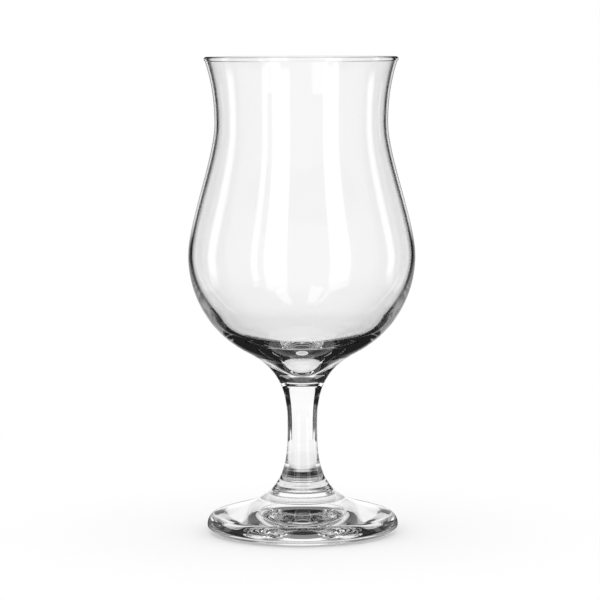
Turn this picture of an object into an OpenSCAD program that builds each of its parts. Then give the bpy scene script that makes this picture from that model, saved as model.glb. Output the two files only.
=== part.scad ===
// Poco grande glass: a blown bowl, a solid stem and a pressed foot, fused end to end.
// Every piece is a surface of revolution about Z, standing on Z = 0. Sizes are in millimetres.
// An outline is a chain of stations, each a radius, a height and a heading, joined by fair curves.

/* [Bowl outside] */
// height of the bowl from its weld face to the top of the rim
bowl_h = 123.1; // [116:0.1:132]
// outside diameter of the rim, over the fire-polished bead
rim_d = 73.6; // [68:0.1:80]
// lean of the flared lip from upright, in degrees
lip_lean = 18.5; // [8:0.5:28]
// thickness of the fire-polished bead that rounds the rim
bead_d = 1.8; // [1.6:0.05:2.6]
// outside diameter of the pinched waist
waist_d = 65.6; // [60:0.1:70]
// height of the waist above the weld face
waist_h = 98.1; // [90:0.1:106]
// outside diameter of the belly
belly_d = 86.2; // [80:0.1:94]
// height of the fullest part of the belly above the weld face
belly_h = 47.9; // [43:0.1:54]
// reach of the curve between waist and belly: a low value gives a straighter side
shoulder_pull = 0.245; // [0.2:0.005:0.4]
// diameter where the round underside of the bowl turns into the neck
heel_d = 41.8; // [39:0.1:48]
// height of that turn above the weld face
heel_h = 11; // [9:0.1:13]
// lean of the underside at that turn, in degrees from upright
heel_lean = 62.5; // [54:0.5:70]

/* [Bowl inside] */
// wall thickness just below the bead
rim_wall = 1.3; // [1:0.05:1.6]
// wall thickness at the waist
waist_wall = 1.35; // [1:0.05:2.4]
// wall thickness at the belly
belly_wall = 1.4; // [1:0.05:2.4]
// wall thickness half way down the round underside
low_wall = 2.6; // [1.4:0.05:4]
// how much more the inner face leans there than the outer face, in degrees
low_taper = 4.5; // [0:0.5:12]
// thickness of solid glass between the weld face and the lowest point inside
base_t = 4.5; // [3.5:0.1:7.5]
// diameter of the drawn dimple in the floor
dimple_d = 15; // [12:0.5:22]
// depth of the dimple
dimple_depth = 5; // [4:0.1:7.5]
// slope of the dimple's side where it meets the floor, in degrees
dimple_slope = 42; // [30:1:48]
// diameter of the floor, where it starts to sweep up into the wall
floor_d = 44; // [36:0.5:50]
// rise of the floor from the dimple to its outer edge
floor_rise = 7.1; // [5:0.1:8.5]
// slope of the floor at its outer edge, in degrees
floor_slope = 17; // [10:1:28]

/* [Stem] */
// length of the stem between its two weld faces
stem_h = 45; // [30:0.1:70]
// diameter of the stem where it is thinnest
stem_d = 11.6; // [8:0.1:15]
// height of the thinnest place above the lower weld face
stem_waist_h = 22.1; // [16:0.1:27]

/* [Welds] */
// diameter of the weld between bowl and stem
bowl_weld_d = 17.8; // [16:0.1:22]
// lean of the outline at that weld, in degrees from upright
bowl_weld_lean = 28; // [18:0.5:38]
// diameter of the weld between stem and foot
foot_weld_d = 32.8; // [28:0.1:38]
// lean of the outline at that weld, in degrees from upright
foot_weld_lean = 63; // [55:0.5:70]
// reach of the fine crease that each weld leaves, on either side of it
crease_w = 0.3; // [0.1:0.05:0.6]
// depth of that crease
crease_depth = 0.15; // [0.05:0.05:0.4]

/* [Foot] */
// outside diameter of the foot
foot_d = 72.8; // [68:0.1:84]
// height of the foot from the table to its weld face
foot_h = 12.9; // [11.5:0.1:16]
// diameter at which the dome rounds over into the edge
brow_d = 67.2; // [60:0.1:70]
// height of that rounding above the table
brow_h = 7.2; // [6.2:0.1:9]
// lean of the dome at that rounding, in degrees from upright
brow_lean = 70; // [60:0.5:80]
// height of the widest part of the edge above the table
edge_h = 3; // [2:0.1:4.5]
// outside diameter of the flat ring that rests on the table
ring_d = 58.6; // [50:0.1:64]
// width of that flat ring
ring_w = 2.4; // [1.2:0.1:4]
// height of the hollow under the foot at its middle
hollow_rise = 3.2; // [1:0.1:5]

/* [Hidden] */
$fn = 96;
glass = [0.88, 0.92, 0.92, 0.45];
// degrees of turn that one straight step of an outline may cover
turn_step = 6;
// degrees of turn that one straight step of the bead may cover
bead_step = 18;
// steps of a curve that turns out and back again
sway_steps = 14;
// headings of a chain that runs along an outline: straight down, outwards and inwards
down = 0;
out = 90;
in = -90;

foot_weld_z = foot_h;
bowl_weld_z = foot_weld_z + stem_h;
rim_z = bowl_weld_z + bowl_h;

// middle of the bead's round section, which lies on the middle of the wall
bead_mid = [rim_d / 2 - bead_d / 2, rim_z - bead_d / 2];
// half of the angle at the bead's middle between the two faces of the wall
bead_gap = asin(rim_wall / bead_d);

// stations: radius, height, heading
lip_mid = bead_mid + along(down - lip_lean) * cos(bead_gap) * bead_d / 2;
lip_out = station(lip_mid + across(down - lip_lean) * rim_wall / 2, down - lip_lean);
waist_out = [waist_d / 2, bowl_weld_z + waist_h, down];
belly_out = [belly_d / 2, bowl_weld_z + belly_h, down];
heel = [heel_d / 2, bowl_weld_z + heel_h, down - heel_lean];
bowl_weld = [bowl_weld_d / 2, bowl_weld_z, down - bowl_weld_lean];
// the inner face runs back up, one wall inside the outer face
under_mid = middle(belly_out, heel);
low_in = turned(inner(under_mid, low_wall), -low_taper);
belly_in = inner(belly_out, belly_wall);
waist_in = inner(waist_out, waist_wall);
lip_in = inner(lip_out, rim_wall);
dimple_low = [0, bowl_weld_z + base_t, out];
dimple_top = [dimple_d / 2, dimple_low[1] + dimple_depth, out + dimple_slope];
floor_edge = [floor_d / 2, dimple_top[1] + floor_rise, out + floor_slope];
stem_waist = [stem_d / 2, foot_weld_z + stem_waist_h, down];
foot_weld = [foot_weld_d / 2, foot_weld_z, down + foot_weld_lean];
brow = [brow_d / 2, brow_h, down + brow_lean];
edge = [foot_d / 2, edge_h, down];
ring_out = [ring_d / 2, 0, in];
// the hollow is a shallow spherical cap, which sets its slope at the ring
hollow_r = ring_d / 2 - ring_w;
hollow_low = [hollow_r, 0, in - 2 * atan(hollow_rise / hollow_r)];
hollow_mid = [0, hollow_rise, in];

function station(point, heading) = [point[0], point[1], heading];
function spot(s) = [s[0], s[1]];
function along(heading) = [sin(heading), -cos(heading)];
// direction to the left of a heading, which is outwards where an outline runs down
function across(heading) = [cos(heading), sin(heading)];
// a station moved along its own heading
function ahead(s, reach) = station(spot(s) + along(s[2]) * reach, s[2]);
// a station turned on its spot
function turned(s, angle) = station(spot(s), s[2] + angle);
// the station one wall inside an outer one, heading back the other way
function inner(s, wall) = turned(station(spot(s) - across(s[2]) * wall, s[2]), 180);
// handle length, as a share of the chord, at which a curve of this turn is nearly a true arc
function fair(turn) = 1 / (3 * pow(cos(turn / 4), 2));
function steps(turn) = max(3, ceil(abs(turn) / turn_step));
function curve(a, b, t) =
  a[0] * pow(1 - t, 3) + 3 * a[1] * t * pow(1 - t, 2) + 3 * b[1] * pow(t, 2) * (1 - t) + b[0] * pow(t, 3);
// both ends of a curve, each with its handle
function handles(a, b, pull) =
  let (reach = norm(spot(b) - spot(a)) * pull)
  [[spot(a), spot(a) + along(a[2]) * reach], [spot(b), spot(b) - along(b[2]) * reach]];
// points of the curve from station a, which is left out, to station b
function span(a, b, pull, n) =
  let (h = handles(a, b, pull))
  [for (i = [1 : n]) curve(h[0], h[1], i / n)];
function bend(a, b) = span(a, b, fair(b[2] - a[2]), steps(b[2] - a[2]));
// station half way along a bend
function middle(a, b) =
  let (h = handles(a, b, fair(b[2] - a[2])))
  let (run = h[1][0] + h[1][1] - h[0][0] - h[0][1])
  station(curve(h[0], h[1], 1 / 2), atan2(run[0], -run[1]));
function sway(a, b) = span(a, b, shoulder_pull, sway_steps);
// points of an arc about a hub, from one angle, which is left out, to another
function arc(hub, radius, from, to) =
  let (n = ceil(abs(to - from) / bead_step))
  [for (i = [1 : n]) let (a = from + (to - from) * i / n) hub + radius * [cos(a), sin(a)]];
// the bead, from the inner face of the wall over the top to the outer face
function bead() =
  let (wall = -90 - lip_lean)
  arc(bead_mid, bead_d / 2, wall - bead_gap + 360, wall + bead_gap);
// point in the bottom of a weld's crease, on the weld face
function weld_edge(s) = [s[0] - crease_depth, s[1]];

module revolve(outline) {
  color(glass)
    rotate_extrude()
      polygon(outline);
}

// blown bowl: flared lip, waist, belly and a thick base that ends in the weld face
module bowl() {
  weld_top = ahead(bowl_weld, -crease_w);
  outside = concat(bend(lip_out, waist_out), sway(waist_out, belly_out), bend(belly_out, heel));
  neck = concat(bend(heel, weld_top), [weld_edge(bowl_weld), [0, bowl_weld_z]]);
  floor_line = concat([spot(dimple_low)], bend(dimple_low, dimple_top), bend(dimple_top, floor_edge));
  wall_line = concat(bend(floor_edge, low_in), bend(low_in, belly_in));
  inside = concat(wall_line, sway(belly_in, waist_in), bend(waist_in, lip_in));
  revolve(concat(bead(), outside, neck, floor_line, inside));
}

// solid stem, concave along its whole length
module stem() {
  top = ahead(bowl_weld, crease_w);
  low = ahead(foot_weld, -crease_w);
  upper = concat([[0, bowl_weld_z], weld_edge(bowl_weld), spot(top)], bend(top, stem_waist));
  lower = concat(bend(stem_waist, low), [weld_edge(foot_weld), [0, foot_weld_z]]);
  revolve(concat(upper, lower));
}

// pressed foot: low dome, rounded edge, flat resting ring and a hollow underside
module foot() {
  top = ahead(foot_weld, crease_w);
  dome = concat([[0, foot_weld_z], weld_edge(foot_weld), spot(top)], bend(top, brow), bend(brow, edge));
  under = concat(bend(edge, ring_out), [spot(hollow_low)], bend(hollow_low, hollow_mid));
  revolve(concat(dome, under));
}

bowl();
stem();
foot();
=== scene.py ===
"""Poco grande glass: blown bowl, drawn stem and pressed foot of clear glass, in a plain white studio."""

import logging
import math
from dataclasses import dataclass, field
from enum import Enum

import bmesh
import bpy
from mathutils import Matrix, Vector


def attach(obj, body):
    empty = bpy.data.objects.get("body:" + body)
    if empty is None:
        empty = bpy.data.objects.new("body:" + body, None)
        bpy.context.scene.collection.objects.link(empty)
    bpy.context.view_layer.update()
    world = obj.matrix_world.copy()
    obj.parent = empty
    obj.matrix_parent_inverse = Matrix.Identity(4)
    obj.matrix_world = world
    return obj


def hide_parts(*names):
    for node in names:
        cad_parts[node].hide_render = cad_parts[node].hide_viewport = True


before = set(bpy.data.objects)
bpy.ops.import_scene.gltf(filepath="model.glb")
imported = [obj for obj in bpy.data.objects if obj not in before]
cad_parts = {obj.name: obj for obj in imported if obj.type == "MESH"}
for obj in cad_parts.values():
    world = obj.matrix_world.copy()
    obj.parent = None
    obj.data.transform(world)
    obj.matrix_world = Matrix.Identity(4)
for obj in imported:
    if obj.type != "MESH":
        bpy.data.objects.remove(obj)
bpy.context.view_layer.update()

log = logging.getLogger("poco_grande")

MM = 0.001
BODY = "root"
WHITE = "#ffffff"
# headings of an outline, in degrees from straight down, turning outwards
DOWN = 0.0
OUT = 90.0
UP = 180.0
IN = -90.0
# share of a curve to either side of a point, over which its run is measured
NEARBY = 1e-3
# points of an outline that are closer than this, in millimetres, are one point
SAME_POINT = 1e-4
# degrees of half a turn, and the play within which a count of faces is the same
HALF_TURN = 180.0
HALF_COUNT = 0.5
# kinds and settings of the nodes that are used most
MATH = "ShaderNodeMath"
RANGE = "ShaderNodeMapRange"
MIX = "ShaderNodeMix"
NOISE = "ShaderNodeTexNoise"
SMOOTH = {"interpolation_type": "SMOOTHSTEP"}
NUMBER = {"data_type": "FLOAT"}

Point = tuple[float, float]
Corner = tuple[float, float, float]
Settings = dict[str, object]
Socket = bpy.types.NodeSocket
Tree = bpy.types.NodeTree


class Making(Enum):
    """How a piece was made, as the marks that it left: width, length along the axis and height, in mm."""

    BLOWN = (16.0, 40.0, 0.004)
    DRAWN = (1.6, 40.0, 0.0008)
    PRESSED = (3.2, 3.2, 0.0012)


class Mirrored(Enum):
    """How often the glass has mirrored some light, as the count of reflections that it is past."""

    ONCE = 0.5
    OFTEN = 4.5
    ROUND_THE_WALL = 20.5


def linear(code: str) -> tuple[float, float, float, float]:
    """Turn an sRGB hex colour into Blender's linear colour.

    Args:
        code: Colour as "#rrggbb".

    Returns:
        Linear red, green and blue, with full alpha.
    """
    # the numbers are those of the sRGB standard
    shades = [int(code[i : i + 2], 16) / 255 for i in (1, 3, 5)]
    red, green, blue = (s / 12.92 if s <= 0.04045 else ((s + 0.055) / 1.055) ** 2.4 for s in shades)
    return red, green, blue, 1.0


def add(tree: Tree, kind: str, settings: Settings | None = None, **inputs: object) -> bpy.types.Node:
    """Add a node with its settings, and set or link its inputs.

    Args:
        tree: Tree that gets the node.
        kind: Node type.
        settings: Properties of the node itself.
        **inputs: Values or output sockets. Each is named for its socket, with _ for a space, or for its
            place, as i0, i1 and so on.

    Returns:
        The new node.
    """
    node = tree.nodes.new(kind)
    for name, value in (settings or {}).items():
        setattr(node, name, value)
    for name, value in inputs.items():
        place = int(name[1:]) if name[0] == "i" and name[1:].isdigit() else name.replace("_", " ")
        socket = node.inputs[place]
        if isinstance(value, Socket):
            tree.links.new(value, socket)
        else:
            socket.default_value = value
    return node


def past(tree: Tree, times: Mirrored) -> Socket:
    """Give 1 for light that the glass has mirrored more often than times, and 0 for other light."""
    count = add(tree, "ShaderNodeLightPath").outputs["Glossy Depth"]
    return add(tree, MATH, {"operation": "GREATER_THAN"}, i0=count, i1=times.value).outputs[0]


def bare(name: str) -> tuple[bpy.types.Material, Tree]:
    """Make a material with an empty tree.

    Args:
        name: Name of the material.

    Returns:
        The material and its tree.
    """
    material = bpy.data.materials.new(name)
    material.use_nodes = True
    material.node_tree.nodes.clear()
    return material, material.node_tree


@dataclass(frozen=True)
class Fade:
    """Level that runs from first to last while a measure runs from start to end."""

    start: float
    end: float
    first: float
    last: float

    def inputs(self, unit: float = 1.0) -> dict[str, float]:
        """Give the inputs of a Map Range node, for a measure whose limits are in a unit."""
        limits = {"From_Min": self.start * unit, "From_Max": self.end * unit}
        return limits | {"To_Min": self.first, "To_Max": self.last}


@dataclass(frozen=True)
class Station:
    """Place on an outline, in mm, with its heading in degrees from straight down, turning outwards."""

    radius: float
    height: float
    heading: float

    def moved(self, reach: float) -> "Station":
        """Give the station moved along its own heading.

        Args:
            reach: How far it moves.

        Returns:
            The station, with the same heading.
        """
        turn = math.radians(self.heading)
        out, down = math.sin(turn) * reach, math.cos(turn) * reach
        return Station(self.radius + out, self.height - down, self.heading)

    def beside(self, reach: float, heading: float) -> "Station":
        """Give the station moved to the left of its heading.

        Args:
            reach: How far it moves.
            heading: Its new heading.

        Returns:
            The station, with the new heading.
        """
        turn = math.radians(self.heading)
        out, up = math.cos(turn) * reach, math.sin(turn) * reach
        return Station(self.radius + out, self.height + up, heading)


Curve = tuple[Station, Station, Station, Station]


def handles(a: Station, b: Station, pull: float | None = None) -> Curve:
    """Give the four corners of the fair curve between two stations.

    Args:
        a: Station that the curve leaves.
        b: Station that it reaches.
        pull: Handle length as a share of the chord. A near-arc where it is left out.

    Returns:
        Both stations, with the ends of their handles between them.
    """
    turn = math.radians(b.heading - a.heading)
    share = pull or 1 / (3 * math.cos(turn / 4) ** 2)
    reach = math.dist((a.radius, a.height), (b.radius, b.height)) * share
    return a, a.moved(reach), b.moved(-reach), b


def along(corners: Curve, t: float) -> Point:
    """Give the point at share t of the way along a curve.

    Args:
        corners: The four corners of the curve.
        t: Share of the way.

    Returns:
        Radius and height of the point.
    """
    weights = ((1 - t) ** 3, 3 * t * (1 - t) ** 2, 3 * t * t * (1 - t), t**3)
    radius = sum(w * c.radius for w, c in zip(weights, corners))
    height = sum(w * c.height for w, c in zip(weights, corners))
    return radius, height


def halfway(a: Station, b: Station) -> Station:
    """Give the station half way along the fair curve between two stations.

    Args:
        a: Station that the curve leaves.
        b: Station that it reaches.

    Returns:
        The station, with the curve's own heading there.
    """
    first, second, third, last = corners = handles(a, b)
    out = last.radius + third.radius - second.radius - first.radius
    down = second.height + first.height - last.height - third.height
    return Station(*along(corners, 0.5), math.degrees(math.atan2(out, down)))


@dataclass(frozen=True)
class Rings:
    """Faint rings that the tools left in the hot glass over part of a curve. Their height is in mm."""

    start: float
    end: float
    count: int
    height: float

    def lift(self, t: float) -> float:
        """Give the lift off the fair curve at share t of the way along it."""
        u = min(max((t - self.start) / (self.end - self.start), 0.0), 1.0)
        return self.height * math.sin(math.pi * u) ** 2 * math.sin(2 * math.pi * self.count * u)


@dataclass
class Outline:
    """Half section of a piece, as points from station to station, with a mark on those of a fused face."""

    points: list[Point] = field(default_factory=list)
    fused: list[bool] = field(default_factory=list)

    def add(self, point: Point, fused: bool = False) -> None:
        """Add one point, unless it lies on the last one.

        Args:
            point: Radius and height.
            fused: Whether it is a point of a fused face.
        """
        if self.points and math.dist(point, self.points[-1]) < SAME_POINT:
            return
        self.points.append(point)
        self.fused.append(fused)

    def bend(
        self, a: Station, b: Station, steps: int, pull: float | None = None, rings: Rings | None = None
    ) -> None:
        """Add a fair curve from one station to the next.

        Args:
            a: Station that the curve leaves.
            b: Station that it reaches.
            steps: Straight steps along it.
            pull: Handle length as a share of the chord. A near-arc where it is left out.
            rings: Rings that the tools left on it.
        """
        corners = handles(a, b, pull)
        for i in range(steps + 1):
            t = i / steps
            radius, height = along(corners, t)
            if rings:
                before, after = along(corners, t - NEARBY), along(corners, t + NEARBY)
                lift = rings.lift(t) / math.dist(before, after)
                radius -= (after[1] - before[1]) * lift
                height += (after[0] - before[0]) * lift
            self.add((max(radius, 0.0), height))

    def arc(self, hub: Point, radius: float, start: float, end: float, steps: int) -> None:
        """Add an arc about a hub.

        Args:
            hub: Middle of the arc.
            radius: Its radius.
            start: First angle in degrees.
            end: Last angle in degrees.
            steps: Straight steps along it.
        """
        for i in range(steps + 1):
            turn = math.radians(start + (end - start) * i / steps)
            self.add((hub[0] + radius * math.cos(turn), hub[1] + radius * math.sin(turn)))

    def close(self) -> None:
        """End the outline exactly where it began."""
        self.points[-1] = self.points[0]

    def mesh(self, name: str) -> bpy.types.Mesh:
        """Make the outline a mesh of points in the XZ plane, in metres, with its marks as an attribute.

        Args:
            name: Name of the mesh.

        Returns:
            The mesh.
        """
        mesh = bpy.data.meshes.new(name)
        mesh.from_pydata([(r * MM, 0.0, z * MM) for r, z in self.points], [], [])
        mesh.attributes.new("fused", "BOOLEAN", "POINT").data.foreach_set("value", self.fused)
        return mesh


@dataclass(frozen=True)
class ClearGlass:
    """Clear soda-lime tableware glass.

    The eye gets hard bright reflections, and what lies behind bent at its edges. Cords are faint streaks
    in the melt, and wipes are faint marks of a cloth. Their sizes are in millimetres.
    """

    name: str
    making: Making
    pale: str = WHITE
    tinted: str = "#fdfdfd"
    cord_mm: float = 30.0
    wipe_mm: float = 9.0
    polish: Fade = Fade(0.55, 0.85, 0.0, 0.008)
    ior: float = 1.52

    def relief(self, tree: Tree, place: Socket) -> Socket:
        """Give the bumped normal that the making left.

        Args:
            tree: Tree of the material.
            place: Object coordinates.

        Returns:
            The normal socket.
        """
        width, length, height = self.making.value
        scale = Vector((1 / width, 1 / width, 1 / length)) / MM
        stretched = add(tree, "ShaderNodeMapping", {"vector_type": "POINT"}, Vector=place, Scale=scale)
        marks = add(tree, NOISE, None, Vector=stretched.outputs[0], Scale=1.0, Detail=1.0)
        bump = add(tree, "ShaderNodeBump", None, Height=marks.outputs[0], Distance=height * MM, Strength=1.0)
        return bump.outputs[0]

    def material(self) -> bpy.types.Material:
        """Build the material: pale cords of tint, a clean surface with faint wipe marks, and its relief.

        Returns:
            The material.
        """
        material, tree = bare(self.name)
        place = add(tree, "ShaderNodeTexCoord").outputs["Object"]
        cords = add(tree, NOISE, None, Vector=place, Scale=1 / (self.cord_mm * MM), Detail=2.0)
        tones = {"i6": linear(self.pale), "i7": linear(self.tinted)}
        tint = add(tree, MIX, {"data_type": "RGBA"}, i0=cords.outputs[0], **tones)
        wipes = add(tree, NOISE, None, Vector=place, Scale=1 / (self.wipe_mm * MM), Detail=3.0)
        polish = add(tree, RANGE, None, Value=wipes.outputs[0], **self.polish.inputs())
        glass = add(
            tree,
            "ShaderNodeBsdfPrincipled",
            None,
            Base_Color=tint.outputs[2],
            Roughness=polish.outputs[0],
            IOR=self.ior,
            Transmission_Weight=1.0,
            Normal=self.relief(tree, place),
        )
        add(tree, "ShaderNodeOutputMaterial", None, Surface=glass.outputs[0])
        return material


@dataclass(frozen=True)
class FusedFace:
    """Face where two pieces of hot glass became one. Light crosses it as if it weren't there."""

    name: str = "fused_glass_face"

    def material(self) -> bpy.types.Material:
        """Build the material, which only lets light through.

        Returns:
            The material.
        """
        material, tree = bare(self.name)
        clear = add(tree, "ShaderNodeBsdfTransparent")
        add(tree, "ShaderNodeOutputMaterial", None, Surface=clear.outputs[0])
        return material


@dataclass
class Lathe:
    """Geometry Nodes tree that turns an outline about the Z axis into a closed solid of revolution.

    The weld gap is in metres, and edges that bend by more than the sharp angle, in degrees, stay crisp.
    """

    turns: int = 240
    weld_gap: float = 1e-6
    sharp: float = 35.0
    tree: Tree | None = None

    def build(self) -> None:
        """Build the tree, with named inputs for what a piece may set."""
        tree = bpy.data.node_groups.new("turned_glass", "GeometryNodeTree")
        sockets = (
            ("Outline", "INPUT", "NodeSocketGeometry"),
            ("Turns", "INPUT", "NodeSocketInt"),
            ("Glass", "INPUT", "NodeSocketMaterial"),
            ("Fused face", "INPUT", "NodeSocketMaterial"),
            ("Piece", "OUTPUT", "NodeSocketGeometry"),
        )
        for name, way, kind in sockets:
            tree.interface.new_socket(name, in_out=way, socket_type=kind)
        given = add(tree, "NodeGroupInput").outputs
        outline, turns = given["Outline"], given["Turns"]

        # a grid of one row for each outline point and one column for each turn, with the seam doubled
        count = add(tree, "GeometryNodeAttributeDomainSize", {"component": "MESH"}, Geometry=outline)
        columns = add(tree, MATH, {"operation": "ADD"}, i0=turns, i1=1.0).outputs[0]
        points = count.outputs["Point Count"]
        grid = add(tree, "GeometryNodeMeshGrid", None, Vertices_X=points, Vertices_Y=columns)
        index = add(tree, "GeometryNodeInputIndex").outputs[0]
        rows = add(tree, MATH, {"operation": "DIVIDE"}, i0=index, i1=columns).outputs[0]
        row = add(tree, MATH, {"operation": "FLOOR"}, i0=rows).outputs[0]
        column = add(tree, MATH, {"operation": "MODULO"}, i0=index, i1=columns).outputs[0]
        share = add(tree, MATH, {"operation": "DIVIDE"}, i0=column, i1=turns).outputs[0]
        turn = add(tree, MATH, {"operation": "MULTIPLY"}, i0=share, i1=math.tau).outputs[0]

        # each vertex takes the place and the mark of its row's outline point
        spot = add(tree, "GeometryNodeInputPosition").outputs[0]
        yes_or_no = {"data_type": "BOOLEAN"}
        fused = add(tree, "GeometryNodeInputNamedAttribute", yes_or_no, Name="fused").outputs[0]
        spot_there, fused_there = (
            add(
                tree,
                "GeometryNodeSampleIndex",
                {"data_type": kind, "domain": "POINT"},
                Geometry=outline,
                Value=value,
                Index=row,
            ).outputs[0]
            for kind, value in (("FLOAT_VECTOR", spot), ("BOOLEAN", fused))
        )
        flat = add(tree, "ShaderNodeSeparateXYZ", None, i0=spot_there).outputs
        spun = (add(tree, MATH, {"operation": way}, i0=turn).outputs[0] for way in ("COSINE", "SINE"))
        x, y = (add(tree, MATH, {"operation": "MULTIPLY"}, i0=flat[0], i1=s).outputs[0] for s in spun)
        place = add(tree, "ShaderNodeCombineXYZ", None, X=x, Y=y, Z=flat[2]).outputs[0]
        marked = add(
            tree,
            "GeometryNodeStoreNamedAttribute",
            yes_or_no | {"domain": "POINT"},
            Geometry=grid.outputs["Mesh"],
            Name="fused",
            Value=fused_there,
        ).outputs[0]
        turned = add(tree, "GeometryNodeSetPosition", None, Geometry=marked, Position=place).outputs[0]
        closed = add(tree, "GeometryNodeMergeByDistance", None, Geometry=turned, Distance=self.weld_gap)

        # smooth all over, but for crisp edges, and fused faces that let light through
        shade = "GeometryNodeSetShadeSmooth"
        smooth = add(tree, shade, {"domain": "FACE"}, Geometry=closed.outputs[0], Shade_Smooth=True)
        angle = add(tree, "GeometryNodeInputMeshEdgeAngle").outputs[0]
        more = {"data_type": "FLOAT", "operation": "GREATER_THAN"}
        hard = add(tree, "FunctionNodeCompare", more, i0=angle, i1=math.radians(self.sharp)).outputs[0]
        kept = {"Selection": hard, "Shade_Smooth": False}
        crisp = add(tree, shade, {"domain": "EDGE"}, Geometry=smooth.outputs[0], **kept)
        real = add(tree, "GeometryNodeRealizeInstances", None, Geometry=crisp.outputs[0])
        skin = add(tree, "GeometryNodeSetMaterial", None, Geometry=real.outputs[0], Material=given["Glass"])
        ends = {"Selection": fused, "Material": given["Fused face"]}
        weld = add(tree, "GeometryNodeSetMaterial", None, Geometry=skin.outputs[0], **ends)
        add(tree, "NodeGroupOutput", None, Piece=weld.outputs[0])
        self.tree = tree

    def turn(
        self, name: str, outline: Outline, glass: bpy.types.Material, weld: bpy.types.Material
    ) -> bpy.types.Object:
        """Turn one piece.

        Args:
            name: Name of the piece.
            outline: Its half section.
            glass: Finish of its skin.
            weld: Finish of its fused faces.

        Returns:
            The piece, as a plain mesh at the origin.
        """
        blank = bpy.data.objects.new(name, outline.mesh(name + "_outline"))
        bpy.context.scene.collection.objects.link(blank)
        nodes = blank.modifiers.new("turned", "NODES")
        nodes.node_group = self.tree
        values = {"Turns": self.turns, "Glass": glass, "Fused face": weld}
        for socket in self.tree.interface.items_tree:
            if socket.in_out == "INPUT" and socket.name in values:
                nodes[socket.identifier] = values[socket.name]
        view = bpy.context.evaluated_depsgraph_get()
        mesh = bpy.data.meshes.new_from_object(blank.evaluated_get(view))
        blank.modifiers.remove(nodes)
        mesh.name = name
        work = bmesh.new()
        work.from_mesh(mesh)
        bmesh.ops.recalc_face_normals(work, faces=work.faces)
        work.to_mesh(mesh)
        work.free()
        blank.data = mesh
        return blank


@dataclass(frozen=True)
class Weld:
    """Where two pieces were fused, with the fine crease that the fusing left. Sizes in millimetres."""

    diameter: float
    height: float
    heading: float
    crease_w: float = 0.3
    crease_depth: float = 0.15

    def station(self) -> Station:
        """Give the station of the weld on the outline."""
        return Station(self.diameter / 2, self.height, self.heading)

    def close_below(self, outline: Outline) -> None:
        """End a piece that stops above the weld: crease, fused face, axis."""
        outline.add((self.diameter / 2 - self.crease_depth, self.height), fused=True)
        outline.add((0.0, self.height), fused=True)

    def open_above(self, outline: Outline) -> None:
        """Start a piece that hangs below the weld: axis, fused face, crease."""
        outline.add((0.0, self.height), fused=True)
        outline.add((self.diameter / 2 - self.crease_depth, self.height), fused=True)


BOWL_WELD = Weld(diameter=17.8, height=57.9, heading=DOWN - 28.0)
FOOT_WELD = Weld(diameter=32.8, height=12.9, heading=DOWN + 63.0)


def place(piece: bpy.types.Object, node: str, slot: str) -> None:
    """Let a piece stand for a CAD node.

    Args:
        piece: Finished piece.
        node: Node that it replaces.
        slot: Material slot of the record. Not used.
    """
    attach(piece, BODY)
    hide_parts(node)


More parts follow.
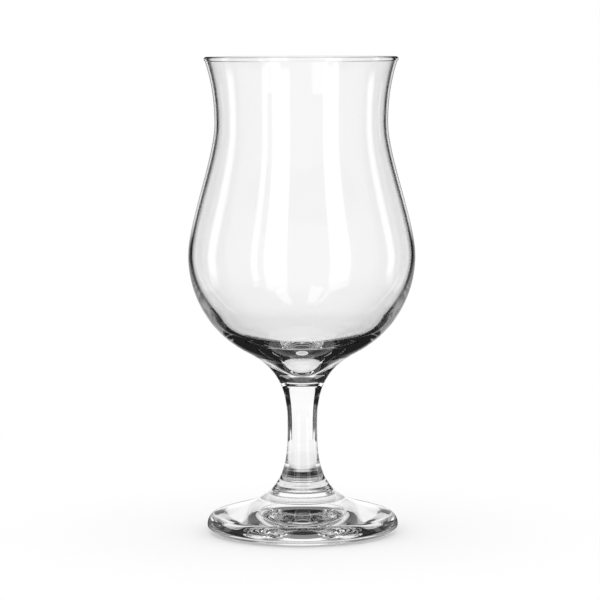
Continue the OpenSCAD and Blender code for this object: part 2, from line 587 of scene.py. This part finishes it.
@dataclass
class Bowl:
    """Blown bowl: flared lip with a fire-polished bead, waist, belly, and a thick base with a dimple.

    Sizes are in millimetres, and leans and tapers in degrees.
    """

    rim_d: float = 73.6
    rim_z: float = 181.0
    lip_lean: float = 18.5
    bead_d: float = 1.8
    rim_wall: float = 1.3
    waist: Station = Station(32.8, 156.0, DOWN)
    belly: Station = Station(43.1, 105.8, DOWN)
    heel: Station = Station(20.9, 68.9, DOWN - 62.5)
    shoulder_pull: float = 0.245
    waist_wall: float = 1.35
    belly_wall: float = 1.4
    low_wall: float = 2.6
    low_taper: float = 4.5
    floor_edge: Station = Station(22.0, 74.5, OUT + 17.0)
    dimple_top: Station = Station(7.5, 67.4, OUT + 42.0)
    dimple_low: Station = Station(0.0, 62.4, OUT)
    bead_steps: int = 16
    lip_steps: int = 30
    side_steps: int = 44
    neck_steps: int = 22
    floor_steps: int = 22
    low_steps: int = 24
    # long, low waves of the blown wall bend the highlights a little
    finish: ClearGlass = ClearGlass("blown_soda_lime_glass", Making.BLOWN)

    def outline(self) -> Outline:
        """Draw the half section, from the bead down the outside and up the inside.

        Returns:
            The outline.
        """
        half = self.bead_d / 2
        hub = (self.rim_d / 2 - half, self.rim_z - half)
        gap = math.degrees(math.asin(self.rim_wall / self.bead_d))
        lean = Station(*hub, DOWN - self.lip_lean).moved(math.cos(math.radians(gap)) * half)
        lip_out = lean.beside(self.rim_wall / 2, DOWN - self.lip_lean)
        lip_in = lean.beside(-self.rim_wall / 2, UP - self.lip_lean)
        belly_in = self.belly.beside(-self.belly_wall, UP)
        waist_in = self.waist.beside(-self.waist_wall, UP)
        under = halfway(self.belly, self.heel)
        low_in = under.beside(-self.low_wall, UP + under.heading - self.low_taper)
        weld_top = BOWL_WELD.station().moved(-BOWL_WELD.crease_w)
        # angle at which the wall leaves the middle of the bead
        wall = -90 - self.lip_lean
        drawn = Outline()
        drawn.arc(hub, half, wall - gap + 360, wall + gap, self.bead_steps)
        drawn.bend(lip_out, self.waist, self.lip_steps)
        drawn.bend(self.waist, self.belly, self.side_steps, self.shoulder_pull)
        drawn.bend(self.belly, self.heel, self.side_steps)
        drawn.bend(self.heel, weld_top, self.neck_steps)
        BOWL_WELD.close_below(drawn)
        drawn.bend(self.dimple_low, self.dimple_top, self.floor_steps)
        drawn.bend(self.dimple_top, self.floor_edge, self.floor_steps)
        drawn.bend(self.floor_edge, low_in, self.low_steps)
        drawn.bend(low_in, belly_in, self.low_steps)
        drawn.bend(belly_in, waist_in, self.side_steps, self.shoulder_pull)
        drawn.bend(waist_in, lip_in, self.lip_steps)
        drawn.close()
        return drawn

    def build(self, lathe: Lathe, weld: bpy.types.Material) -> bpy.types.Object:
        """Turn the bowl and put it in its node's place.

        Args:
            lathe: Tree that turns it.
            weld: Finish of its fused face.

        Returns:
            The bowl.
        """
        piece = lathe.turn("bowl_blown", self.outline(), self.finish.material(), weld)
        place(piece, "bowl", "bowl_glass")
        return piece


@dataclass
class Stem:
    """Drawn stem: solid, concave along its length, with faint rings where it flares into the foot."""

    middle: Station = Station(5.8, 35.0, DOWN)
    rings: Rings = Rings(start=0.42, end=1.0, count=6, height=0.045)
    upper_steps: int = 40
    lower_steps: int = 160
    # fine lines along the drawn stem break its highlights into streaks
    finish: ClearGlass = ClearGlass("drawn_soda_lime_glass", Making.DRAWN)

    def outline(self) -> Outline:
        """Draw the half section from the upper weld down to the lower one.

        Returns:
            The outline.
        """
        top = BOWL_WELD.station().moved(BOWL_WELD.crease_w)
        low = FOOT_WELD.station().moved(-FOOT_WELD.crease_w)
        drawn = Outline()
        BOWL_WELD.open_above(drawn)
        drawn.bend(top, self.middle, self.upper_steps)
        drawn.bend(self.middle, low, self.lower_steps, rings=self.rings)
        FOOT_WELD.close_below(drawn)
        return drawn

    def build(self, lathe: Lathe, weld: bpy.types.Material) -> bpy.types.Object:
        """Turn the stem and put it in its node's place.

        Args:
            lathe: Tree that turns it.
            weld: Finish of its fused faces.

        Returns:
            The stem.
        """
        piece = lathe.turn("stem_drawn", self.outline(), self.finish.material(), weld)
        place(piece, "stem", "stem_glass")
        return piece


@dataclass
class Foot:
    """Pressed foot: low dome, rounded edge, flat resting ring and a shallow hollow. Sizes are in mm."""

    brow: Station = Station(33.6, 7.2, DOWN + 70.0)
    edge: Station = Station(36.4, 3.0, DOWN)
    ring_out: Station = Station(29.3, 0.0, IN)
    ring_w: float = 2.4
    hollow_rise: float = 3.2
    dome_steps: int = 40
    edge_steps: int = 30
    hollow_steps: int = 40
    # the chill of the mould leaves small, even waves
    finish: ClearGlass = ClearGlass("pressed_soda_lime_glass", Making.PRESSED)

    def outline(self) -> Outline:
        """Draw the half section from the weld over the dome and under to the axis.

        Returns:
            The outline.
        """
        top = FOOT_WELD.station().moved(FOOT_WELD.crease_w)
        radius = self.ring_out.radius - self.ring_w
        slope = 2 * math.degrees(math.atan(self.hollow_rise / radius))
        drawn = Outline()
        FOOT_WELD.open_above(drawn)
        drawn.bend(top, self.brow, self.dome_steps)
        drawn.bend(self.brow, self.edge, self.edge_steps)
        drawn.bend(self.edge, self.ring_out, self.edge_steps)
        drawn.bend(Station(radius, 0.0, IN - slope), Station(0.0, self.hollow_rise, IN), self.hollow_steps)
        return drawn

    def build(self, lathe: Lathe, weld: bpy.types.Material) -> bpy.types.Object:
        """Turn the foot and put it in its node's place.

        Args:
            lathe: Tree that turns it.
            weld: Finish of its fused face.

        Returns:
            The foot.
        """
        piece = lathe.turn("foot_pressed", self.outline(), self.finish.material(), weld)
        place(piece, "foot", "foot_glass")
        return piece


@dataclass(frozen=True)
class FloorPaper:
    """Matt white paper of the floor. The eye gets plain white, but for the object's soft shadow.

    The paper is pure white beyond the range of the far fade, in millimetres from the glass.
    """

    name: str = "matt_white_paper"
    tone: str = "#d4d4d4"
    glow: float = 0.38
    far: Fade = Fade(120.0, 300.0, 0.0, 1.0)

    def material(self) -> bpy.types.Material:
        """Build the material: lit paper near the glass, and white further out.

        Returns:
            The material.
        """
        material, tree = bare(self.name)
        spot = add(tree, "ShaderNodeTexCoord").outputs["Object"]
        apart = add(tree, "ShaderNodeVectorMath", {"operation": "LENGTH"}, i0=spot).outputs["Value"]
        far = add(tree, RANGE, SMOOTH, Value=apart, **self.far.inputs(MM)).outputs[0]
        lit = add(tree, "ShaderNodeBsdfDiffuse", None, Color=linear(self.tone)).outputs[0]
        glow = add(tree, "ShaderNodeEmission", None, Color=linear(WHITE), Strength=self.glow).outputs[0]
        near = add(tree, "ShaderNodeAddShader", None, i0=lit, i1=glow).outputs[0]
        white = add(tree, "ShaderNodeEmission", None, Color=linear(WHITE), Strength=1.0).outputs[0]
        seen = add(tree, "ShaderNodeMixShader", None, i0=far, i1=near, i2=white)
        add(tree, "ShaderNodeOutputMaterial", None, Surface=seen.outputs[0])
        return material


@dataclass(frozen=True)
class TablePaper:
    """Glowing white paper under the glass, with painted light and shade. A painted shadow darkens it under
    the foot, where little light reaches it.

    Through the glass the eye sees it pale, with painted shade that darkens it a little near the glass. In
    the glass it mirrors as a grey wedge of painted light that widens and brightens to the back, with painted
    shade at either side. Measures are in millimetres.
    """

    name: str = "lit_white_paper"
    # painted shadow under the foot, darkest below the stem
    under: Fade = Fade(6.0, 38.0, 0.012, 1.0)
    outside: Fade = Fade(36.0, 40.0, 0.0, 1.0)
    # painted shade near the glass, for light that came straight through
    straight: Fade = Fade(30.0, 170.0, 0.85, 1.0)
    wedge_slope: float = 0.5
    wedge_edge: Fade = Fade(-20.0, 0.0, 1.0, 0.0)
    # painted light of the mirrored wedge, brighter towards the back
    wedge: Fade = Fade(60.0, 200.0, 0.1, 0.45)
    # painted shade beside the wedge, where the flags would shade the paper
    beside: Fade = Fade(-40.0, 0.0, 0.12, 0.015)

    def material(self) -> bpy.types.Material:
        """Build the material.

        Returns:
            The material.
        """
        material, tree = bare(self.name)
        spot = add(tree, "ShaderNodeTexCoord").outputs["Object"]
        apart = add(tree, "ShaderNodeVectorMath", {"operation": "LENGTH"}, i0=spot).outputs["Value"]
        flat = add(tree, "ShaderNodeSeparateXYZ", None, i0=spot).outputs
        aside = add(tree, MATH, {"operation": "ABSOLUTE"}, i0=flat[0]).outputs[0]
        slant = {"i0": flat[1], "i1": -self.wedge_slope, "i2": aside}
        past_edge = add(tree, MATH, {"operation": "MULTIPLY_ADD"}, **slant).outputs[0]
        inside = add(tree, RANGE, SMOOTH, Value=past_edge, **self.wedge_edge.inputs(MM)).outputs[0]
        # painted light in the wedge and painted shade beside it, for light that the glass mirrors
        wedge = add(tree, RANGE, SMOOTH, Value=flat[1], **self.wedge.inputs(MM)).outputs[0]
        beside = add(tree, RANGE, SMOOTH, Value=flat[1], **self.beside.inputs(MM)).outputs[0]
        mirror = add(tree, MIX, NUMBER, i0=inside, i2=beside, i3=wedge).outputs[0]
        # painted shade near the glass, for light that came straight through
        straight = add(tree, RANGE, None, Value=apart, **self.straight.inputs(MM)).outputs[0]
        bright = add(tree, MIX, NUMBER, i0=past(tree, Mirrored.ONCE), i2=straight, i3=mirror).outputs[0]
        # painted shadow under the foot
        under = add(tree, RANGE, SMOOTH, Value=apart, **self.under.inputs(MM)).outputs[0]
        outside = add(tree, RANGE, SMOOTH, Value=apart, **self.outside.inputs(MM)).outputs[0]
        level = add(tree, MIX, NUMBER, i0=outside, i2=under, i3=bright).outputs[0]
        glow = add(tree, "ShaderNodeEmission", None, Color=linear(WHITE), Strength=level)
        add(tree, "ShaderNodeOutputMaterial", None, Surface=glow.outputs[0])
        return material


@dataclass(frozen=True)
class WhiteCard:
    """Lit white card behind the glass.

    Through the glass the eye sees it white, and a little greyer at its foot. In the glass it mirrors white
    in the middle below and at the sides above, which greys the edge of the wall. Measures are in
    millimetres, across from the middle or up from the table.
    """

    name: str = "white_card"
    straight: Fade = Fade(0.0, 45.0, 0.97, 1.05)
    low: Fade = Fade(45.0, 60.0, 1.08, 0.4)
    low_edge: Fade = Fade(92.0, 102.0, 1.0, 0.1)
    high: Fade = Fade(80.0, 100.0, 0.25, 1.05)
    rising: Fade = Fade(100.0, 125.0, 0.0, 1.0)

    def material(self) -> bpy.types.Material:
        """Build the material.

        Returns:
            The material.
        """
        material, tree = bare(self.name)
        spot = add(tree, "ShaderNodeTexCoord").outputs["Object"]
        flat = add(tree, "ShaderNodeSeparateXYZ", None, i0=spot).outputs
        aside = add(tree, MATH, {"operation": "ABSOLUTE"}, i0=flat[0]).outputs[0]
        low, low_edge, high = (
            add(tree, RANGE, SMOOTH, Value=aside, **fade.inputs(MM)).outputs[0]
            for fade in (self.low, self.low_edge, self.high)
        )
        low = add(tree, MATH, {"operation": "MULTIPLY"}, i0=low, i1=low_edge).outputs[0]
        rising = add(tree, RANGE, SMOOTH, Value=flat[2], **self.rising.inputs(MM)).outputs[0]
        mirror = add(tree, MIX, NUMBER, i0=rising, i2=low, i3=high).outputs[0]
        straight = add(tree, RANGE, None, Value=flat[2], **self.straight.inputs(MM)).outputs[0]
        level = add(tree, MIX, NUMBER, i0=past(tree, Mirrored.ONCE), i2=straight, i3=mirror).outputs[0]
        glow = add(tree, "ShaderNodeEmission", None, Color=linear(WHITE), Strength=level)
        add(tree, "ShaderNodeOutputMaterial", None, Surface=glow.outputs[0])
        return material


@dataclass(frozen=True)
class BlackCard:
    """Black card that only mirrored light meets. The eye gets dark lines along the edges of the glass."""

    name: str = "black_card"
    level: float = 0.015

    def material(self) -> bpy.types.Material:
        """Build the material.

        Returns:
            The material.
        """
        material, tree = bare(self.name)
        clear = add(tree, "ShaderNodeBsdfTransparent").outputs[0]
        dark = add(tree, "ShaderNodeEmission", None, Color=linear(WHITE), Strength=self.level).outputs[0]
        seen = add(tree, "ShaderNodeMixShader", None, i0=past(tree, Mirrored.ONCE), i1=clear, i2=dark)
        add(tree, "ShaderNodeOutputMaterial", None, Surface=seen.outputs[0])
        return material


@dataclass(frozen=True)
class Panel:
    """Lit panel of the room, by the bearing and the elevation at which the glass mirrors it, in degrees.

    A bearing is counted from straight behind the glass, and grows to the right. A panel that is near only
    is left out for light that has met many faces of the glass.
    """

    bearing: float
    half_width: float
    low: float
    high: float
    light: float
    soft: float = 2.0
    soft_end: float = 4.0
    near_only: bool = False
    near_faces: float = 4.5

    def mask(self, tree: Tree, bearing: Socket, rise: Socket) -> Socket:
        """Give 1 on the panel and 0 off it, with soft edges.

        Args:
            tree: Tree of the world.
            bearing: Bearing of the light.
            rise: Its elevation.

        Returns:
            The mask.
        """
        off = add(tree, MATH, {"operation": "SUBTRACT"}, i0=bearing, i1=self.bearing).outputs[0]
        aside = add(tree, MATH, {"operation": "WRAP"}, i0=off, i1=HALF_TURN, i2=-HALF_TURN).outputs[0]
        middle, tall = (self.low + self.high) / 2, (self.high - self.low) / 2
        above = add(tree, MATH, {"operation": "SUBTRACT"}, i0=rise, i1=middle).outputs[0]
        mask: Socket | float = 1.0
        for away, half, soft in ((aside, self.half_width, self.soft), (above, tall, self.soft_end)):
            far = add(tree, MATH, {"operation": "ABSOLUTE"}, i0=away).outputs[0]
            edge = Fade(half - soft, half + soft, 1.0, 0.0)
            inside = add(tree, RANGE, SMOOTH, Value=far, **edge.inputs()).outputs[0]
            mask = add(tree, MATH, {"operation": "MULTIPLY"}, i0=mask, i1=inside).outputs[0]
        if self.near_only:
            faces = add(tree, "ShaderNodeLightPath").outputs["Ray Depth"]
            near = add(tree, MATH, {"operation": "LESS_THAN"}, i0=faces, i1=self.near_faces).outputs[0]
            mask = add(tree, MATH, {"operation": "MULTIPLY"}, i0=mask, i1=near).outputs[0]
        return mask


@dataclass(frozen=True)
class Room:
    """Room round the glass, which is white to the camera.

    To the glass its level goes by direction, and by how often the glass has mirrored the light. Bearings
    and elevations are in degrees, as for a panel.
    """

    ambient: float = 0.012
    panels: tuple[Panel, ...] = (
        # grey walls beside and behind the glass, and the grey room behind the camera
        Panel(-54.0, 16.0, -30.0, 30.0, 0.6),
        Panel(54.0, 16.0, -30.0, 30.0, 0.6),
        Panel(-104.0, 38.0, -30.0, 25.0, 0.3),
        Panel(104.0, 38.0, -30.0, 25.0, 0.3),
        Panel(180.0, 52.0, -90.0, 60.0, 0.4, soft=8.0),
        # softboxes in front and strips at the sides
        Panel(-153.0, 11.5, -31.0, 75.0, 2.0, near_only=True),
        Panel(-130.5, 3.0, -31.0, 75.0, 2.0, near_only=True),
        Panel(140.0, 10.5, -31.0, 75.0, 2.0, near_only=True),
        Panel(-75.5, 6.5, -20.0, 30.0, 1.7),
        Panel(76.5, 5.5, -18.0, 30.0, 1.7),
    )
    # light that came straight through: white low down and behind, dark above and at the sides
    below: Fade = Fade(3.0, 7.0, 1.05, 0.05)
    behind: Fade = Fade(9.0, 16.0, 0.95, 0.05)
    # dark sides, which only a solid piece bends light to
    solid_faces: float = 2.0
    solid_quarter: float = 90.0
    solid_bearing: float = 48.0
    solid_edge: Fade = Fade(16.0, 20.0, 1.0, 0.0)
    solid_low: Fade = Fade(-12.0, -8.0, 0.0, 1.0)
    solid_level: float = 0.015
    # light that was mirrored often, or ran round inside the wall
    haze: Fade = Fade(-4.0, 4.0, 0.5, 0.015)
    wall_haze: Fade = Fade(3.0, 13.0, 0.5, 0.015)

    def straight(self, tree: Tree, bearing: Socket, rise: Socket) -> Socket:
        """Give the level of the room to light that came straight through.

        Args:
            tree: Tree of the world.
            bearing: Bearing of the light.
            rise: Its elevation.

        Returns:
            The level.
        """
        below = add(tree, RANGE, SMOOTH, Value=rise, **self.below.inputs()).outputs[0]
        aside = add(tree, MATH, {"operation": "ABSOLUTE"}, i0=bearing).outputs[0]
        behind = add(tree, RANGE, SMOOTH, Value=aside, **self.behind.inputs()).outputs[0]
        clear = add(tree, MATH, {"operation": "MAXIMUM"}, i0=below, i1=behind).outputs[0]
        faces = add(tree, "ShaderNodeLightPath").outputs["Transmission Depth"]
        counted = {"i0": faces, "i1": self.solid_faces, "i2": HALF_COUNT}
        solid = add(tree, MATH, {"operation": "COMPARE"}, **counted).outputs[0]
        folded = add(tree, MATH, {"operation": "PINGPONG"}, i0=bearing, i1=self.solid_quarter).outputs[0]
        off = add(tree, MATH, {"operation": "SUBTRACT"}, i0=folded, i1=self.solid_bearing).outputs[0]
        far = add(tree, MATH, {"operation": "ABSOLUTE"}, i0=off).outputs[0]
        edge = add(tree, RANGE, SMOOTH, Value=far, **self.solid_edge.inputs()).outputs[0]
        low = add(tree, RANGE, SMOOTH, Value=rise, **self.solid_low.inputs()).outputs[0]
        dark = add(tree, MATH, {"operation": "MULTIPLY"}, i0=edge, i1=solid).outputs[0]
        dark = add(tree, MATH, {"operation": "MULTIPLY"}, i0=dark, i1=low).outputs[0]
        return add(tree, MIX, NUMBER, i0=dark, i2=clear, i3=self.solid_level).outputs[0]

    def mirrored(self, tree: Tree, bearing: Socket, rise: Socket) -> Socket:
        """Give the level of the room to light that the glass has mirrored.

        Args:
            tree: Tree of the world.
            bearing: Bearing of the light.
            rise: Its elevation.

        Returns:
            The level.
        """
        level: Socket | float = self.ambient
        for panel in self.panels:
            mask = panel.mask(tree, bearing, rise)
            level = add(tree, MIX, NUMBER, i0=mask, i2=level, i3=panel.light).outputs[0]
        haze, wall = (
            add(tree, RANGE, SMOOTH, Value=rise, **fade.inputs()).outputs[0]
            for fade in (self.haze, self.wall_haze)
        )
        deep = add(tree, MIX, NUMBER, i0=past(tree, Mirrored.ROUND_THE_WALL), i2=haze, i3=wall).outputs[0]
        return add(tree, MIX, NUMBER, i0=past(tree, Mirrored.OFTEN), i2=level, i3=deep).outputs[0]

    def build(self) -> None:
        """Make the world, which is white to the camera and to the floor, and the room to the glass."""
        world = bpy.data.worlds.new("studio")
        bpy.context.scene.world = world
        world.use_nodes = True
        tree = world.node_tree
        tree.nodes.clear()
        way = add(tree, "ShaderNodeTexCoord").outputs["Generated"]
        x, y, z = add(tree, "ShaderNodeSeparateXYZ", None, i0=way).outputs
        turn = add(tree, MATH, {"operation": "ARCTAN2"}, i0=x, i1=y).outputs[0]
        climb = add(tree, MATH, {"operation": "ARCSINE"}, i0=z).outputs[0]
        bearing, rise = (add(tree, MATH, {"operation": "DEGREES"}, i0=a).outputs[0] for a in (turn, climb))
        levels = {"i2": self.straight(tree, bearing, rise), "i3": self.mirrored(tree, bearing, rise)}
        room = add(tree, MIX, NUMBER, i0=past(tree, Mirrored.ONCE), **levels).outputs[0]
        ray = add(tree, "ShaderNodeLightPath").outputs
        plain = {"i0": ray["Is Camera Ray"], "i1": ray["Is Diffuse Ray"]}
        white = add(tree, MATH, {"operation": "MAXIMUM"}, **plain).outputs[0]
        shown = add(tree, MIX, NUMBER, i0=white, i2=room, i3=1.0).outputs[0]
        sky = add(tree, "ShaderNodeBackground", None, Color=linear(WHITE), Strength=shown)
        add(tree, "ShaderNodeOutputWorld", None, Surface=sky.outputs[0])


@dataclass
class Studio:
    """Plain white studio: the camera, the pale floor, the room, and boards that only the glass sees.

    Sizes are in millimetres, and the roll of the camera is in degrees.
    """

    distance: float = 1080.0
    eye_z: float = 188.54
    aim: Point = (-0.72, 88.75)
    roll: float = -0.2
    focal_px: float = 2852.0
    frame_px: float = 600.0
    sensor: float = 36.0
    floor_r: float = 3000.0
    floor_sides: int = 96
    floor_z: float = -0.2
    board_z: float = -0.3
    table_half: float = 165.0
    table_front: float = -170.0
    card_half: float = 125.0
    card_y: float = 200.0
    card_top: float = 195.0
    flag_near: Point = (55.0, 30.0)
    flag_far: Point = (117.0, 200.0)
    flag_low: float = 20.0
    flag_top: float = 300.0
    # light runs round inside the wall for dozens of reflections before it leaves
    bounces: int = 64
    clear_bounces: int = 32

    def camera(self) -> None:
        """Set the camera where the photograph was taken from."""
        lens = bpy.data.cameras.new("camera")
        lens.sensor_width = self.sensor
        lens.lens = self.focal_px / self.frame_px * self.sensor
        eye = bpy.data.objects.new("camera", lens)
        bpy.context.scene.collection.objects.link(eye)
        stand = Vector((0.0, -self.distance, self.eye_z)) * MM
        sight = Vector((self.aim[0], 0.0, self.aim[1])) * MM - stand
        turned = sight.to_track_quat("-Z", "Y").to_matrix().to_4x4()
        roll = Matrix.Rotation(math.radians(self.roll), 4, "Z")
        eye.matrix_world = Matrix.Translation(stand) @ turned @ roll
        bpy.context.scene.camera = eye

    def stand(self, work: bmesh.types.BMesh, name: str, material: bpy.types.Material) -> bpy.types.Object:
        """Make a stage piece.

        Args:
            work: Its shape.
            name: Its name.
            material: Its finish.

        Returns:
            The piece.
        """
        mesh = bpy.data.meshes.new(name)
        work.to_mesh(mesh)
        work.free()
        mesh.materials.append(material)
        piece = bpy.data.objects.new(name, mesh)
        bpy.context.scene.collection.objects.link(piece)
        return piece

    def floor(self) -> None:
        """Lay the wide floor that the camera sees, just below the glass."""
        work = bmesh.new()
        bmesh.ops.create_circle(work, cap_ends=True, segments=self.floor_sides, radius=self.floor_r * MM)
        bmesh.ops.translate(work, verts=work.verts, vec=(0.0, 0.0, self.floor_z * MM))
        floor = self.stand(work, "floor", FloorPaper().material())
        floor.visible_glossy = False
        floor.visible_transmission = False

    def board(self, name: str, corners: tuple[Corner, ...], material: bpy.types.Material) -> None:
        """Set up a flat board that only the glass sees.

        Args:
            name: Its name.
            corners: Its corners in order, in millimetres.
            material: Its finish.
        """
        work = bmesh.new()
        work.faces.new([work.verts.new(Vector(corner) * MM) for corner in corners])
        board = self.stand(work, name, material)
        board.visible_camera = False
        board.visible_diffuse = False
        board.visible_shadow = False

    def boards(self) -> None:
        """Set up the lit table, the lit card behind the glass and a black flag at either side."""
        half, low, front, back = self.table_half, self.board_z, self.table_front, self.card_y
        corners = ((-half, front, low), (half, front, low), (half, back, low), (-half, back, low))
        self.board("table", corners, TablePaper().material())
        half, top = self.card_half, self.card_top
        corners = ((-half, back, low), (half, back, low), (half, back, top), (-half, back, top))
        self.board("backdrop", corners, WhiteCard().material())
        (x, y), (u, v) = self.flag_near, self.flag_far
        low, top = self.flag_low, self.flag_top
        black = BlackCard().material()
        for side in (-1, 1):
            corners = ((side * x, y, low), (side * u, v, low), (side * u, v, top), (side * x, y, top))
            self.board("flag", corners, black)

    def build(self) -> None:
        """Set up how the picture is shown, the camera, the floor, the boards and the room."""
        scene = bpy.context.scene
        scene.view_settings.view_transform = "Standard"
        scene.cycles.max_bounces = self.bounces
        scene.cycles.transmission_bounces = self.bounces
        scene.cycles.glossy_bounces = self.bounces
        scene.cycles.transparent_max_bounces = self.clear_bounces
        self.camera()
        self.floor()
        self.boards()
        Room().build()


def main() -> None:
    """Build the glass and its studio in order, and report each piece."""
    logging.basicConfig(level=logging.INFO, format="%(message)s")
    lathe = Lathe()
    lathe.build()
    weld = FusedFace().material()
    for part in (Bowl(), Stem(), Foot()):
        piece = part.build(lathe, weld)
        log.info("%s: %d faces", piece.name, len(piece.data.polygons))
    Studio().build()


if __name__ == "__main__":
    main()
